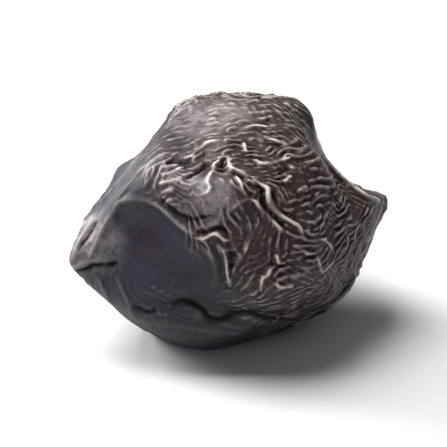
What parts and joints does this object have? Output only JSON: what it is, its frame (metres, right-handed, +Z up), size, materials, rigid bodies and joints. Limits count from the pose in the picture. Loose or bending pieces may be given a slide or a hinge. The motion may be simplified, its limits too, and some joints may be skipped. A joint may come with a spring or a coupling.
{
  "type": "date fruit",
  "caption": "Whole dried date, near-black with deep folds and fine wrinkles, lying on its side on a small flat seat.",
  "frame": {"origin": "on the ground under the middle of the date's box", "axes": "+X along the fruit from its tip to its stem end, +Z up, the near side faces -Y"},
  "size_m": [0.0328, 0.026, 0.0243],
  "materials": {
    "date_skin": "satin, wrinkled, waxy bloom on the folds"
  },
  "bodies": {
    "root": {"date": "date_skin"}
  },
  "joints": []
}
